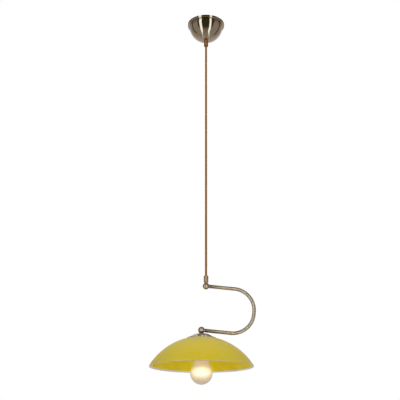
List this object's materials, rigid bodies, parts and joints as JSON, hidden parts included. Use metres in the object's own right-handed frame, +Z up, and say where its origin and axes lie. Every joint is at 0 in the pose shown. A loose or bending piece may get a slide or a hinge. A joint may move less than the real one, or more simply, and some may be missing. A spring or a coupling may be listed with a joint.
{
  "type": "rise and fall pendant",
  "caption": "Ceiling pendant on a reeled cable that rises and falls, with a C-shaped arm on two ball knuckles, a domed glass shade and a bulb.",
  "frame": {"origin": "centre of the ceiling bracket's top face, on the ceiling, on the axis of the cup and the cable", "axes": "+Z up, along the cable; +X along the straight limbs of the arm, towards its bend; +Y away from the viewer of the picture"},
  "size_m": [0.2884, 0.28, 1.094],
  "materials": {
    "antique_brass": "lacquered antique brass, brushed to a soft sheen",
    "bare_brass": "plain",
    "zinc_steel": "zinc plated",
    "spring_steel": "blued",
    "white_plastic": "moulded",
    "black_plastic": "moulded",
    "gold_cable": "golden brown braid",
    "lead_sheath": "smooth sheath",
    "clear_rubber": "translucent",
    "yellow_glass": "cased yellow glass with a clear edge",
    "porcelain": "unglazed",
    "opal_glass": "opal",
    "cap_alloy": "plain",
    "black_glass": "fused black glass",
    "solder": "soldered"
  },
  "bodies": {
    "ceiling_fixture": {"ceiling_bracket": "zinc_steel", "reel_cradle": "zinc_steel", "cradle_screws": "zinc_steel", "ceiling_cup": "antique_brass", "cup_nipple": "zinc_steel", "nipple_locknut": "zinc_steel", "cup_spacer_nut": "zinc_steel", "terminal_block": "white_plastic", "terminal_screws": "zinc_steel", "reel_axle": "zinc_steel", "axle_clip": "zinc_steel", "brush_holder": "black_plastic", "brushes": "bare_brass", "cable_nozzle": "antique_brass", "nozzle_liner": "white_plastic"},
    "reel": {"reel_drum": "black_plastic", "spring_cover": "black_plastic", "reel_spring": "spring_steel", "slip_rings": "bare_brass", "reel_winding": "gold_cable"},
    "cable_end": {"suspension_cable": "gold_cable", "cable_tail": "gold_cable", "cable_sleeve": "antique_brass", "grip_insert": "white_plastic", "grip_screw": "antique_brass"},
    "swivel": {"upper_knuckle_back": "antique_brass", "swivel_nut": "bare_brass"},
    "arm": {"upper_knuckle_front": "antique_brass", "upper_pivot_screw": "antique_brass", "upper_pivot_washer": "spring_steel", "arm_tube": "antique_brass", "arm_lead": "lead_sheath", "lower_knuckle_front": "antique_brass", "lower_pivot_screw": "antique_brass", "lower_pivot_washer": "spring_steel"},
    "shade": {"lower_knuckle_back": "antique_brass", "gallery_cap": "antique_brass", "glass_gasket": "clear_rubber", "glass_shade": "yellow_glass", "holder_cap": "white_plastic", "holder_skirt": "white_plastic", "contact_carrier": "porcelain", "centre_contact": "bare_brass", "screw_shell": "bare_brass", "shade_ring": "white_plastic"},
    "bulb": {"bulb_glass": "opal_glass", "bulb_cap": "cap_alloy", "bulb_insulator": "black_glass", "bulb_contact": "solder"}
  },
  "joints": [
    {"name": "rise_and_fall", "type": "slide", "parent": "ceiling_fixture", "child": "cable_end", "axis": [0, 0, 1], "range_m": [-0.12, 0.215], "deforming": ["suspension_cable"]},
    {"name": "reel_spin", "type": "hinge", "parent": "ceiling_fixture", "child": "reel", "pos_m": [-0.0155, 0, -0.025], "axis": [0, -1, 0], "range_deg": [-444, 795], "deforming": ["reel_winding", "reel_spring"]},
    {"name": "arm_swivel", "type": "hinge", "parent": "cable_end", "child": "swivel", "pos_m": [0, 0, -0.8286], "axis": [0, 0, 1], "range_deg": [-170, 170]},
    {"name": "arm_pivot", "type": "hinge", "parent": "swivel", "child": "arm", "pos_m": [0, 0, -0.8286], "axis": [0, -1, 0], "range_deg": [-45, 15]},
    {"name": "shade_tilt", "type": "hinge", "parent": "arm", "child": "shade", "pos_m": [-0.01233, 0, -0.94997], "axis": [0, -1, 0], "range_deg": [-45, 8]},
    {"name": "bulb_turn", "type": "hinge", "parent": "shade", "child": "bulb", "pos_m": [-0.01233, 0, -1], "axis": [0, 0, -1], "range_deg": [0, 1800]}
  ],
  "couplings": [
    {"joint": "reel_spin", "follows": "rise_and_fall", "rad_per_m": 64.516}
  ]
}
